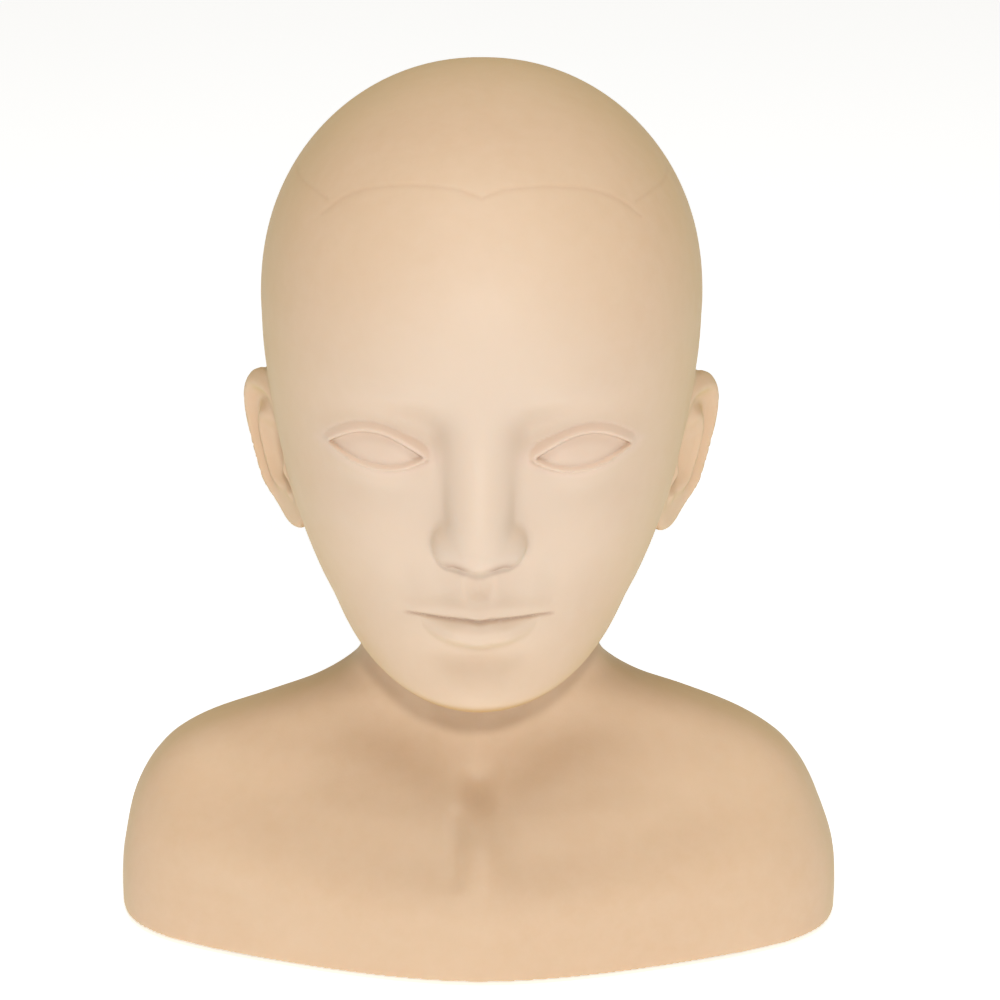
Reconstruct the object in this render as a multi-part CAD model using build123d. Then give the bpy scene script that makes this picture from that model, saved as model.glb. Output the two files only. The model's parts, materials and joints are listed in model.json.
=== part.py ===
"""Training bust: a bald mannequin head and shoulders, for table-top or clamp use.

Millimetres. +Z up, the face looks along -Y, +X is to the right of someone looking at the face.
The origin is on the table, under the middle of the bust's overall width and depth.

A slush-moulded vinyl skin holds head, ears, neck and shoulders in one hollow piece. Its bottom edge
turns in to a lip, which is clamped between two half rings inside and a base plate outside. A socket
for a table clamp stands on the plate and reaches up through a dam disc into the foam that fills the
head and neck.
"""
import os
from math import cos, pi, sin

from build123d import *

# ---- driving sizes -----------------------------------------------------------------------------

HEAD_BREADTH = 150.0        # over the widest part of the skull, ears left out
HEAD_LENGTH = 186.0         # forehead to the back of the skull
HEAD_HEIGHT = 202.0         # chin to crown
NOSE_REACH = 8.0            # nose tip in front of the forehead
CHIN_HEIGHT = 106.0         # underside of the chin above the table
SHOULDER_WIDTH = 255.0
BASE_DEPTH = 140.0          # chest to back at the base
BASE_SETBACK = 8.0          # middle of the base behind the middle of the skull
NECK_WIDTH = 82.0

SKIN_WALL = 3.5
SKIN_GAP = 1.5              # bottom edge of the skin above the table
SKIRT_HEIGHT = 24.0         # straight-sided part of the skin above its bottom edge
LIP_WIDTH = 20.0            # how far the lip turns in from the inside of the wall

PLATE_RECESS = 3.0          # base plate's underside above the skin's bottom edge
PLATE_THICKNESS = 4.0
PLATE_FIT = 0.6             # gap round the plate and round the half rings
RIB_HEIGHT = 9.0
RIB_THICKNESS = 2.4
RIB_COUNT = 8
RING_THICKNESS = 9.0
RING_SPLIT = 1.0            # gap between the two half rings

SOCKET_BORE_RADIUS = 13.0   # takes the post of a mannequin clamp
SOCKET_WALL = 3.5
SOCKET_DEPTH = 92.0         # mouth to the blind end of the bore
SOCKET_FLANGE_RADIUS = 34.0
SOCKET_FLANGE_THICKNESS = 4.0
GUSSET_HEIGHT = 24.0
GUSSET_THICKNESS = 3.0
CAP_THICKNESS = 3.0
CAP_SPIGOT = 6.0
CAP_SEAT = 1.5              # the cap's seat in the tube's top is this much wider than the bore
DISC_THICKNESS = 6.0
FOAM_FIT = 0.4              # between the foam and what it is poured against
PIECE_FIT = 0.1             # radial gap of a located or pressed piece

BASE_SCREW_COUNT = 8
BASE_SCREW_LENGTH = 14.0
SOCKET_SCREW_COUNT = 4
SOCKET_SCREW_RING = 26.0
SOCKET_SCREW_LENGTH = 7.0
SCREW_RADIUS = 1.95
SCREW_HEAD_RADIUS = 4.0
SCREW_HEAD_HEIGHT = 2.4
SCREW_DRIVE_RADIUS = 1.2
SCREW_DRIVE_DEPTH = 1.4
SCREW_FIT = 0.05

FOOT_RADIUS = 12.0
FOOT_STEM_RADIUS = 3.0
FOOT_EDGE = 5.0             # from a foot's pad to the plate's edge
FOOT_STEM_CLEARANCE = 1.0   # plate left over a foot's stem

# ---- levels and centres worked out from them ---------------------------------------------------

SKULL_Y = NOSE_REACH / 2                     # the nose and the back of the skull bound the depth
BASE_Y = SKULL_Y + BASE_SETBACK
PLATE_BOTTOM = SKIN_GAP + PLATE_RECESS
PLATE_TOP = PLATE_BOTTOM + PLATE_THICKNESS
LIP_TOP = PLATE_TOP + SKIN_WALL
RING_TOP = LIP_TOP + RING_THICKNESS
SKIRT_TOP = SKIN_GAP + SKIRT_HEIGHT
NECK_LEVEL = 0.92           # share of the way from the skirt to the chin where the neck begins
NECK_BOTTOM = SKIRT_TOP + NECK_LEVEL * (CHIN_HEIGHT - SKIRT_TOP)
NECK_TOP = CHIN_HEIGHT + 0.25 * HEAD_HEIGHT
FOOT_STEM_TOP = PLATE_TOP - FOOT_STEM_CLEARANCE
SOCKET_RADIUS = SOCKET_BORE_RADIUS + SOCKET_WALL
SOCKET_TOP = PLATE_BOTTOM + SOCKET_DEPTH + CAP_SPIGOT
SECTION_POINTS = 28


# ---- sections ----------------------------------------------------------------------------------

def oval_point(turn, half_width, front, back, centre_y, pinch=0.0):
    """A point of an oval. It is an ellipse at pinch 0; at 1 its front and back come to a blunt peak
    in the middle and its two ends are squarer."""
    side, ahead = cos(turn), sin(turn)
    share = abs(side)
    power = 2 - 0.3 * pinch + 0.75 * pinch * share ** 4
    depth = (1 - min(1, share ** power)) ** (1 / power)
    reach = -front * depth if ahead < 0 else back * depth
    return half_width * side, centre_y + reach


def oval(*sizes):
    """Points of a closed oval, with the sizes that oval_point takes."""
    return [oval_point(2 * pi * step / SECTION_POINTS, *sizes) for step in range(SECTION_POINTS)]


def section_wire(points, z):
    """A smooth closed curve through the points, level at z."""
    return Wire([Edge.make_spline([Vector(x, y, z) for x, y in points], periodic=True)])


def prism(points, low, high):
    """A straight-sided solid on an oval."""
    return extrude(Face(section_wire(points, low)), high - low, dir=(0, 0, 1))


# ---- the head ----------------------------------------------------------------------------------

# Height as a share of chin to crown; half width as a share of half the breadth; and, as shares of
# half the length from the middle of the skull, how far the section reaches to the front and to the
# back, and how far to the front it is widest.
HEAD_STATIONS = [
    # height, width, front, back, widest at
    (0.000, 0.14, 0.700, -0.460, 0.58),
    (0.015, 0.30, 0.755, -0.280, 0.52),
    (0.050, 0.52, 0.785, -0.050, 0.36),
    (0.110, 0.68, 0.815, 0.220, 0.22),
    (0.190, 0.79, 0.860, 0.480, 0.12),
    (0.280, 0.87, 0.895, 0.700, 0.04),
    (0.380, 0.935, 0.905, 0.840, -0.02),
    (0.480, 0.98, 0.905, 0.930, -0.07),
    (0.600, 1.00, 0.955, 0.985, -0.10),
    (0.700, 0.980, 0.980, 1.000, -0.10),
    (0.790, 0.890, 0.910, 0.960, -0.08),
    (0.880, 0.725, 0.750, 0.835, -0.06),
    (0.950, 0.490, 0.510, 0.600, -0.04),
    (0.985, 0.270, 0.270, 0.350, -0.04),
    (1.000, 0.070, 0.040, 0.120, -0.04),
]

def head_solid(inset):
    """The closed egg of the skull, face and jaw, drawn in by inset on every side."""
    half_length, half_breadth = HEAD_LENGTH / 2, HEAD_BREADTH / 2
    shrink = (HEAD_HEIGHT - 2 * inset) / HEAD_HEIGHT
    low = CHIN_HEIGHT + inset
    wires = []
    for height, width, front, back, widest in HEAD_STATIONS:
        centre_y = SKULL_Y - widest * half_length
        room = min(width * half_breadth, (front - widest) * half_length, (back + widest) * half_length)
        drawn_in = min(inset, 0.5 * room)
        wires.append(section_wire(
            oval(
                width * half_breadth - drawn_in,
                (front - widest) * half_length - drawn_in,
                (back + widest) * half_length - drawn_in,
                centre_y,
            ),
            low + height * HEAD_HEIGHT * shrink,
        ))
    return Solid.make_loft(wires)


# ---- neck and shoulders ------------------------------------------------------------------------

# Height as a share of the way from the top of the skirt to the chin; half width as a share of the
# way from half the neck's width to half the shoulders'; front and back as shares of half the base's
# depth, both from the base's middle; and the oval's pinch.
SHOULDER_STATIONS = [
    # height, width, front, back, pinch
    (0.00, 1.000, 1.00, 1.00, 1.0),
    (0.12, 0.965, 0.93, 1.00, 0.9),
    (0.24, 0.910, 0.84, 0.99, 0.75),
    (0.36, 0.845, 0.72, 0.97, 0.6),
    (0.47, 0.750, 0.59, 0.94, 0.45),
    (0.57, 0.600, 0.50, 0.89, 0.3),
    (0.66, 0.425, 0.46, 0.84, 0.15),
    (0.75, 0.230, 0.44, 0.78, 0.0),
    (0.84, 0.060, 0.43, 0.73, 0.0),
    (NECK_LEVEL, 0.000, 0.43, 0.70, 0.0),
]


def skirt_sizes(inset):
    """The plan of the straight-sided base, drawn in by inset, as sizes for an oval."""
    half_depth = BASE_DEPTH / 2 - inset
    return SHOULDER_WIDTH / 2 - inset, half_depth, half_depth, BASE_Y, SHOULDER_STATIONS[0][4]


def skirt_oval(inset):
    return oval(*skirt_sizes(inset))


def shoulder_oval(station, inset):
    """The plan at one station, drawn in by inset."""
    half_neck, half_depth = NECK_WIDTH / 2, BASE_DEPTH / 2
    spread = SHOULDER_WIDTH / 2 - half_neck
    height, width, front, back, pinch = station
    return oval(
        half_neck + width * spread - inset,
        front * half_depth - inset,
        back * half_depth - inset,
        BASE_Y,
        pinch,
    )


def shoulder_solid(inset, low):
    """Skirt and shoulders from the level low up to the neck, drawn in by inset."""
    rise = CHIN_HEIGHT - SKIRT_TOP
    wires = []
    for station in SHOULDER_STATIONS:
        wires.append(section_wire(shoulder_oval(station, inset), SKIRT_TOP + station[0] * rise - inset))
    return Solid.make_loft(wires) + prism(skirt_oval(inset), low, SKIRT_TOP - inset)


def neck_solid(inset, low):
    """The neck, straight up from the level low into the head, drawn in by inset."""
    return prism(shoulder_oval(SHOULDER_STATIONS[-1], inset), low, NECK_TOP)


# ---- the face ----------------------------------------------------------------------------------

def head_place(side, ahead, height):
    """A point of the head from shares of half the breadth, half the length and the height."""
    return Vector(
        side * HEAD_BREADTH / 2,
        SKULL_Y - ahead * HEAD_LENGTH / 2,
        CHIN_HEIGHT + height * HEAD_HEIGHT,
    )


def ellipsoid(centre, radii, turn=0.0):
    """An ellipsoid with its radii along X, Y and Z, turned about Z by turn degrees."""
    return Pos(*centre) * Rot(0, 0, turn) * scale(Sphere(1.0), by=radii)


def nose():
    """Bridge and tip lofted through level ovals."""
    reach = (HEAD_LENGTH / 2 + NOSE_REACH) / (HEAD_LENGTH / 2)
    bridge = [
        # height, half width, tip as a share of the nose's reach, root
        (0.520, 0.070, 0.835, 0.700),
        (0.460, 0.080, 0.860, 0.700),
        (0.400, 0.100, 0.935, 0.700),
        (0.350, 0.125, 0.990, 0.700),
        (0.315, 0.130, 0.995, 0.720),
        (0.285, 0.100, 0.950, 0.740),
    ]
    wires = []
    for height, half_width, tip, root in bridge:
        middle = head_place(0, (tip * reach + root) / 2, height)
        half_depth = (tip * reach - root) / 2 * HEAD_LENGTH / 2
        points = oval(half_width * HEAD_BREADTH / 2, half_depth, half_depth, middle.Y)
        wires.append(section_wire(points, middle.Z))
    return Solid.make_loft(wires)


def nose_wing(side):
    return ellipsoid(head_place(side * 0.135, 0.885, 0.312), (6.0, 9.0, 6.0))


def lips():
    """Upper and lower lip as two flattened ovals that meet at the mouth line."""
    upper = ellipsoid(head_place(0, 0.785, 0.213), (22.0, 11.5, 5.5))
    lower = ellipsoid(head_place(0, 0.765, 0.168), (18.0, 12.0, 6.4))
    return upper + lower


EYEBALL_PLACE = (0.43, 0.705, 0.471)        # shares for head_place
EYEBALL_RADII = (15.5, 10.0, 8.0)
EYE_HOLLOW_PLACE = (0.45, 0.880, 0.480)
EYE_HOLLOW_RADII = (17.0, 8.0, 11.0)
EYE_TURN = 25.0             # degrees that each eye faces outward


def eyes(solid):
    """Hollow a shallow socket each side, and set an eyeball in it."""
    for side in (-1, 1):
        hollow = head_place(side * EYE_HOLLOW_PLACE[0], *EYE_HOLLOW_PLACE[1:])
        ball = head_place(side * EYEBALL_PLACE[0], *EYEBALL_PLACE[1:])
        solid -= ellipsoid(hollow, EYE_HOLLOW_RADII, side * EYE_TURN)
        solid += ellipsoid(ball, EYEBALL_RADII, side * EYE_TURN)
    return solid


EAR_HEIGHT = 57.0
EAR_DEPTH = 32.0
EAR_THICKNESS = 5.0
EAR_FLARE = 24.0            # degrees that the ear stands away from the head
EAR_CANT = 11.0             # degrees that its top stands out further than its lobe
EAR_PLACE = (0.87, 0.03, 0.345)
EAR_BOWL_DEPTH = 2.2
EAR_RIM = 4.5


def ear_outline(inset):
    """The ear's outline in its own plane: X towards the back of the head, Y up."""
    back, up = EAR_DEPTH / 2 - inset, EAR_HEIGHT / 2 - inset
    return Spline(
        (-0.70 * back, 0.55 * up),
        (-0.20 * back, 0.95 * up),
        (0.55 * back, 0.90 * up),
        (1.00 * back, 0.35 * up),
        (0.75 * back, -0.25 * up),
        (0.10 * back, -0.75 * up),
        (-0.55 * back, -0.98 * up),
        (-0.90 * back, -0.60 * up),
        periodic=True,
    )


def ear(side):
    """One ear: a rounded plate with a bowl inside its rim, leaning back and standing off the head."""
    plate = extrude(make_face(ear_outline(0)), EAR_THICKNESS)
    bowl = Pos(0, 0, EAR_THICKNESS - EAR_BOWL_DEPTH) * extrude(
        make_face(ear_outline(EAR_RIM)), EAR_BOWL_DEPTH + 1
    )
    plate -= bowl
    # The ear's own X, Y and normal laid on the head: back, up and out to the side.
    lean = Rot(0, 0, 8)
    right = Plane(origin=(0, 0, 0), x_dir=(0, 1, 0), z_dir=(1, 0, 0))
    placed = right.location * Rot(EAR_CANT, 0, 0) * Rot(0, -EAR_FLARE, 0) * lean * plate
    placed = Pos(*head_place(*EAR_PLACE)) * placed
    return placed if side > 0 else mirror(placed, Plane.YZ)


# ---- the skin ----------------------------------------------------------------------------------

def bust_skin():
    outside = shoulder_solid(0, SKIN_GAP) + neck_solid(0, NECK_BOTTOM) + head_solid(0)
    outside = eyes(outside)
    outside = outside + nose() + lips()
    for side in (-1, 1):
        outside = outside + nose_wing(side) + ear(side)
    neck_inside = neck_solid(SKIN_WALL, NECK_BOTTOM - SKIN_WALL)
    inside = shoulder_solid(SKIN_WALL, LIP_TOP) + neck_inside + head_solid(SKIN_WALL)
    recess = prism(skirt_oval(SKIN_WALL), SKIN_GAP - 1, PLATE_TOP)
    opening = prism(skirt_oval(SKIN_WALL + LIP_WIDTH), PLATE_TOP - 1, LIP_TOP + 1)
    skin = outside - inside - recess - opening
    return skin - screw_shafts(base_screw_places(), PLATE_TOP - 1, LIP_TOP + 1)


# ---- filling and dam ---------------------------------------------------------------------------

def socket_clearance(low, high):
    """The space that the socket's tube takes up, with the foam's gap round it."""
    return Pos(0, BASE_Y, low) * Cylinder(
        SOCKET_RADIUS + FOAM_FIT, high - low, align=(Align.CENTER, Align.CENTER, Align.MIN)
    )


def head_foam_core():
    """Rigid foam that fills the head and the neck down to the dam disc."""
    inset = SKIN_WALL + FOAM_FIT
    filling = head_solid(inset) + neck_solid(inset, NECK_BOTTOM)
    return filling - socket_clearance(NECK_BOTTOM - 1, SOCKET_TOP + CAP_THICKNESS + FOAM_FIT)


def neck_dam_disc():
    """A plywood disc that closes the neck under the foam and steadies the socket's tube."""
    points = shoulder_oval(SHOULDER_STATIONS[-1], SKIN_WALL + FOAM_FIT)
    disc = prism(points, NECK_BOTTOM - DISC_THICKNESS, NECK_BOTTOM)
    return disc - upright(SOCKET_RADIUS + PIECE_FIT, NECK_BOTTOM - 2 * DISC_THICKNESS, NECK_BOTTOM + 1)


# ---- clamp socket ------------------------------------------------------------------------------

def upright(radius, low, high, centre=(0.0, None)):
    """A vertical cylinder between two levels, by default on the socket's axis."""
    x, y = centre
    return Pos(x, BASE_Y if y is None else y, low) * Cylinder(
        radius, high - low, align=(Align.CENTER, Align.CENTER, Align.MIN)
    )


def clamp_socket():
    spigot = upright(SOCKET_RADIUS, PLATE_BOTTOM, PLATE_TOP)
    flange = upright(SOCKET_FLANGE_RADIUS, PLATE_TOP, PLATE_TOP + SOCKET_FLANGE_THICKNESS)
    tube = upright(SOCKET_RADIUS, PLATE_TOP, SOCKET_TOP)
    solid = spigot + flange + tube
    foot = PLATE_TOP + SOCKET_FLANGE_THICKNESS
    reach = SOCKET_FLANGE_RADIUS - SOCKET_RADIUS
    for quarter in range(4):
        web = Plane.XZ * Polyline(
            (SOCKET_RADIUS - 1, foot - 1),
            (SOCKET_RADIUS + reach - 1, foot - 1),
            (SOCKET_RADIUS + reach - 1, foot),
            (SOCKET_RADIUS, foot + GUSSET_HEIGHT),
            (SOCKET_RADIUS - 1, foot + GUSSET_HEIGHT),
            close=True,
        )
        gusset = extrude(make_face(web), GUSSET_THICKNESS / 2, both=True)
        solid += Pos(0, BASE_Y, 0) * Rot(0, 0, 90 * quarter) * gusset
    solid -= upright(SOCKET_BORE_RADIUS, PLATE_BOTTOM - 1, SOCKET_TOP + 1)
    solid -= upright(SOCKET_BORE_RADIUS + CAP_SEAT, SOCKET_TOP - CAP_SPIGOT, SOCKET_TOP + 1)
    for x, y in socket_screw_places():
        solid -= upright(SCREW_RADIUS + SCREW_FIT, PLATE_TOP - 1, foot + 1, (x, y))
    return solid


def socket_cap():
    """Closes the top of the tube, so that the foam stays out of the bore."""
    lid = upright(SOCKET_RADIUS, SOCKET_TOP, SOCKET_TOP + CAP_THICKNESS)
    spigot = upright(SOCKET_BORE_RADIUS + CAP_SEAT - PIECE_FIT, SOCKET_TOP - CAP_SPIGOT, SOCKET_TOP)
    return chamfer((lid + spigot).edges().sort_by(Axis.Z)[-1], 1.0)


# ---- base --------------------------------------------------------------------------------------

def base_half_ring(side):
    """Half of the plywood ring that lies on the lip and takes the base screws."""
    ring = prism(skirt_oval(SKIN_WALL + PLATE_FIT), LIP_TOP, min(RING_TOP, SKIRT_TOP - SKIN_WALL))
    ring -= prism(skirt_oval(SKIN_WALL + LIP_WIDTH), LIP_TOP - 1, RING_TOP + 1)
    half = Pos(side * (SHOULDER_WIDTH + RING_SPLIT) / 2, BASE_Y, RING_TOP) * Box(
        SHOULDER_WIDTH, 2 * BASE_DEPTH, 4 * RING_THICKNESS
    )
    ring = ring & half
    return ring - screw_shafts(base_screw_places(), LIP_TOP - 1, RING_TOP + 1)


def base_plate():
    plate = prism(skirt_oval(SKIN_WALL + PLATE_FIT), PLATE_BOTTOM, PLATE_TOP)
    ribs = None
    for step in range(RIB_COUNT):
        bar = Pos(0, BASE_Y, PLATE_TOP - 1) * Rot(0, 0, 360 * (step + 0.5) / RIB_COUNT) * Box(
            SHOULDER_WIDTH, RIB_THICKNESS, RIB_HEIGHT + 1,
            align=(Align.MIN, Align.CENTER, Align.MIN),
        )
        ribs = bar if ribs is None else ribs + bar
    rib_zone = prism(skirt_oval(SKIN_WALL + LIP_WIDTH + PLATE_FIT), PLATE_TOP - 1, PLATE_TOP + RIB_HEIGHT)
    rib_zone -= upright(SOCKET_FLANGE_RADIUS + PLATE_FIT, PLATE_TOP - 1, PLATE_TOP + RIB_HEIGHT)
    plate = plate + (ribs & rib_zone)
    plate -= upright(SOCKET_RADIUS + PIECE_FIT, PLATE_BOTTOM - 1, PLATE_TOP + 1)
    plate -= screw_shafts(base_screw_places() + socket_screw_places(), PLATE_BOTTOM - 1, PLATE_TOP + 1)
    for place in foot_places().values():
        plate -= upright(FOOT_STEM_RADIUS + PIECE_FIT, PLATE_BOTTOM - 1, FOOT_STEM_TOP + PIECE_FIT, place)
    return plate


def foot_places():
    """Where the four feet stand, by name, between the base screws."""
    sizes = skirt_sizes(SKIN_WALL + PLATE_FIT + FOOT_EDGE + FOOT_RADIUS)
    names = ("rear_right", "rear_left", "front_left", "front_right")
    return {name: oval_point(pi / 4 + step * pi / 2, *sizes) for step, name in enumerate(names)}


def rubber_foot(place):
    """A pad with a stem glued into a blind hole in the plate."""
    pad = upright(FOOT_RADIUS, 0, PLATE_BOTTOM, place)
    pad = chamfer(pad.edges().sort_by(Axis.Z)[0], 0.8)
    return pad + upright(FOOT_STEM_RADIUS, PLATE_BOTTOM, FOOT_STEM_TOP, place)


# ---- screws ------------------------------------------------------------------------------------

def base_screw_places():
    """Points spaced round the middle of the lip."""
    sizes = skirt_sizes(SKIN_WALL + LIP_WIDTH / 2)
    turns = [2 * pi * (step + 0.5) / BASE_SCREW_COUNT for step in range(BASE_SCREW_COUNT)]
    return [oval_point(turn, *sizes) for turn in turns]


def socket_screw_places():
    """Points round the socket's flange, between its gussets."""
    turns = [2 * pi * (step + 0.5) / SOCKET_SCREW_COUNT for step in range(SOCKET_SCREW_COUNT)]
    return [(SOCKET_SCREW_RING * cos(t), BASE_Y + SOCKET_SCREW_RING * sin(t)) for t in turns]


def screw_shafts(places, low, high):
    """The holes that the screws run in."""
    holes = None
    for place in places:
        hole = upright(SCREW_RADIUS + SCREW_FIT, low, high, place)
        holes = hole if holes is None else holes + hole
    return holes


def pan_head_screws(places, length):
    """Pan-head screws driven up through the base plate, as one group of separate solids."""
    screws = []
    for place in places:
        low = PLATE_BOTTOM - SCREW_HEAD_HEIGHT
        head = upright(SCREW_HEAD_RADIUS, low, PLATE_BOTTOM, place)
        head = fillet(head.edges().sort_by(Axis.Z)[0], 0.6 * SCREW_HEAD_HEIGHT)
        shaft = upright(SCREW_RADIUS, PLATE_BOTTOM, PLATE_BOTTOM + length, place)
        shaft = chamfer(shaft.edges().sort_by(Axis.Z)[-1], 0.5 * SCREW_RADIUS)
        drive = Pos(*place, low - 1) * extrude(
            RegularPolygon(SCREW_DRIVE_RADIUS, 6), SCREW_DRIVE_DEPTH + 1
        )
        screws.append((head + shaft) - drive)
    return Compound(children=screws)


# ---- the pieces --------------------------------------------------------------------------------

def pieces():
    made = {
        "bust_skin": bust_skin(),
        "head_foam_core": head_foam_core(),
        "neck_dam_disc": neck_dam_disc(),
        "clamp_socket": clamp_socket(),
        "socket_cap": socket_cap(),
        "base_ring_left": base_half_ring(-1),
        "base_ring_right": base_half_ring(1),
        "base_plate": base_plate(),
        "base_screws": pan_head_screws(base_screw_places(), BASE_SCREW_LENGTH),
        "socket_screws": pan_head_screws(socket_screw_places(), SOCKET_SCREW_LENGTH),
    }
    for name, place in foot_places().items():
        made["rubber_foot_" + name] = rubber_foot(place)
    return made


os.makedirs("parts", exist_ok=True)
for name, shape in pieces().items():
    export_step(shape, "parts/" + name + ".step")
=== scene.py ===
"""Mannequin training head: the looks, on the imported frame.

The vinyl skin is sculpted here as one solid field: lofted skull, neck and shoulders, with the face's
relief, nose and ears blended in. The field is meshed, thinned, and given its own smooth normals.
The pieces under the base keep their CAD shapes and get finished materials.
"""
import itertools
import json
import math
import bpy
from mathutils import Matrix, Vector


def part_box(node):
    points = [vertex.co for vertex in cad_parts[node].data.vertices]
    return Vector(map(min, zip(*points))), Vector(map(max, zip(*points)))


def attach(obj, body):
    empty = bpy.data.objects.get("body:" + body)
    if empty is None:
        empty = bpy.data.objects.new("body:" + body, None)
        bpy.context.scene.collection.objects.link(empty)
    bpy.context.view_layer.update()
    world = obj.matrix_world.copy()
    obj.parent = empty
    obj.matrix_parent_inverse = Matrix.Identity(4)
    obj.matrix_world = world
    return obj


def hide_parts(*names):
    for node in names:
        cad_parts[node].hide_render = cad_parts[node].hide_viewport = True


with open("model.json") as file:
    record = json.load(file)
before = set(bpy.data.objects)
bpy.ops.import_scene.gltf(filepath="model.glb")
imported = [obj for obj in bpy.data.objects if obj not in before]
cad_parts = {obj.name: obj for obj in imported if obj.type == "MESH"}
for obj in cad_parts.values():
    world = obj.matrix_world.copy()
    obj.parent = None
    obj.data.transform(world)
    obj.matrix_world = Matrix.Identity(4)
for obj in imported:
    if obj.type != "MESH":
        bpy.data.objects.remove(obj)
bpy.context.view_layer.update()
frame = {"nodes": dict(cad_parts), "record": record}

from concurrent.futures import ThreadPoolExecutor

import bpy
import numpy as np
from mathutils import Matrix, Vector

# ==== sculpt ====================================================================================
# Millimetres in the face's own axes: x to the right of someone looking at it, f forward from the
# middle of the skull, z above the chin.

SKIN_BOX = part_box("bust_skin")
PLATE_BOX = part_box("base_plate")
CHIN_Z = 106.0                      # the chin above the table
SKULL_Y = 4.0                       # the middle of the skull in the frame
BASE_F = -8.0                       # middle of the base
WALL = 3.5
WALL_BEHIND_RELIEF = 3.2            # the least wall where the face is sunk
LIP = 20.0
PLATE_THICKNESS = 4.0
SKIN_FOOT = SKIN_BOX[0][2] * 1000 - CHIN_Z
PLATE_FOOT = PLATE_BOX[0][2] * 1000 - CHIN_Z
LIP_UNDER = PLATE_FOOT + PLATE_THICKNESS
LIP_TOP = LIP_UNDER + WALL
RING_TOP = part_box("base_ring_left")[1][2] * 1000 - CHIN_Z


def curve(knots, values, at):
    """A smooth curve through the values, level past both ends."""
    knots, values = np.asarray(knots, np.float32), np.asarray(values, np.float32)
    slopes = np.gradient(values, knots)
    at = np.clip(at, knots[0], knots[-1])
    i = np.clip(np.searchsorted(knots, at) - 1, 0, len(knots) - 2)
    span = knots[i + 1] - knots[i]
    t = (at - knots[i]) / span
    t2, t3 = t * t, t * t * t
    return (
        (2 * t3 - 3 * t2 + 1) * values[i]
        + (t3 - 2 * t2 + t) * span * slopes[i]
        + (3 * t2 - 2 * t3) * values[i + 1]
        + (t3 - t2) * span * slopes[i + 1]
    )


def step(low, high, at):
    """0 up to low and 1 from high on, smooth between. With high below low it runs the other way."""
    t = np.clip((at - low) / (high - low), 0, 1)
    return t * t * (3 - 2 * t)


def dome(x, z, cx, cz, sx, sz):
    """A soft round bump of height 1."""
    return np.exp(-(((x - cx) / sx) ** 2) - ((z - cz) / sz) ** 2)


def join(a, b, k):
    """Union of two fields with a fillet of about k."""
    h = np.clip(0.5 + 0.5 * (b - a) / k, 0, 1)
    return b + (a - b) * h - k * h * (1 - h)


def meet(a, b, k):
    """Intersection of two fields with a round of about k."""
    return -join(-a, -b, k)


def egg(x, f, z, centre, radii):
    """Roughly the distance from an ellipsoid."""
    dx, df, dz = x - centre[0], f - centre[1], z - centre[2]
    q = np.sqrt((dx / radii[0]) ** 2 + (df / radii[1]) ** 2 + (dz / radii[2]) ** 2)
    g = np.sqrt((dx / radii[0] ** 2) ** 2 + (df / radii[1] ** 2) ** 2 + (dz / radii[2] ** 2) ** 2)
    return q * (q - 1) / np.maximum(g, 1e-6)


def rod(x, f, z, a, b, ra, rb):
    """A tapered round rod between two points."""
    a, b = np.asarray(a, np.float32), np.asarray(b, np.float32)
    way = b - a
    t = ((x - a[0]) * way[0] + (f - a[1]) * way[1] + (z - a[2]) * way[2]) / (way @ way)
    t = np.clip(t, 0, 1)
    d = np.sqrt((x - a[0] - t * way[0]) ** 2 + (f - a[1] - t * way[1]) ** 2 + (z - a[2] - t * way[2]) ** 2)
    return d - (ra + (rb - ra) * t)


def ridge(x, z, points, width):
    """1 along a broken line through the points, falling off over width."""
    nearest = np.full(np.shape(x), 1e9, np.float32)
    for (x0, z0), (x1, z1) in zip(points[:-1], points[1:]):
        wx, wz = x1 - x0, z1 - z0
        t = np.clip(((x - x0) * wx + (z - z0) * wz) / (wx * wx + wz * wz), 0, 1)
        nearest = np.minimum(nearest, (x - x0 - t * wx) ** 2 + (z - z0 - t * wz) ** 2)
    return np.exp(-nearest / (width * width))


def smooth_line(points, count=24):
    """More points on a smooth curve through the given ones."""
    points = np.asarray(points, np.float32)
    along = np.concatenate([[0], np.cumsum(np.hypot(*np.diff(points, axis=0).T))])
    at = np.linspace(0, along[-1], count)
    return list(zip(curve(along, points[:, 0], at), curve(along, points[:, 1], at)))


# ---- skull, jaw, neck and shoulders ----

SKULL_MID, SKULL_RISE, SKULL_HALF = 124.0, 78.0, 75.3
HEAD_Z = [-25, 0, 11, 19, 27, 34, 42, 58, 76, 92, 108, 124]
HEAD_WIDTH = [25, 34.8, 42.4, 47.3, 51.4, 55.2, 58.8, 64.4, 69.0, 72.0, 74.2, 75.0]
HEAD_FRONT = [68, 74, 77, 77.5, 78, 79, 80, 82.5, 84, 84.5, 87.5, 91]
HEAD_BACK = [-20, -30, -36, -42, -48, -54, -61, -73, -83, -88.5, -92, -93]
HEAD_WIDEST = [26, 21, 18, 16, 13, 11, 8, 3, -1, -4, -6, -7]
HEAD_POWER = [2, 2, 2, 2, 2, 2, 2.04, 2.1, 2.15, 2.15, 2.15, 2.15]

JAW_F = [-90, -60, -30, -5, 12, 30, 50, 66, 74, 90]
JAW_UNDER = [78, 62, 42, 26, 17.5, 11, 5, 1.5, 1.0, 3]

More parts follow.
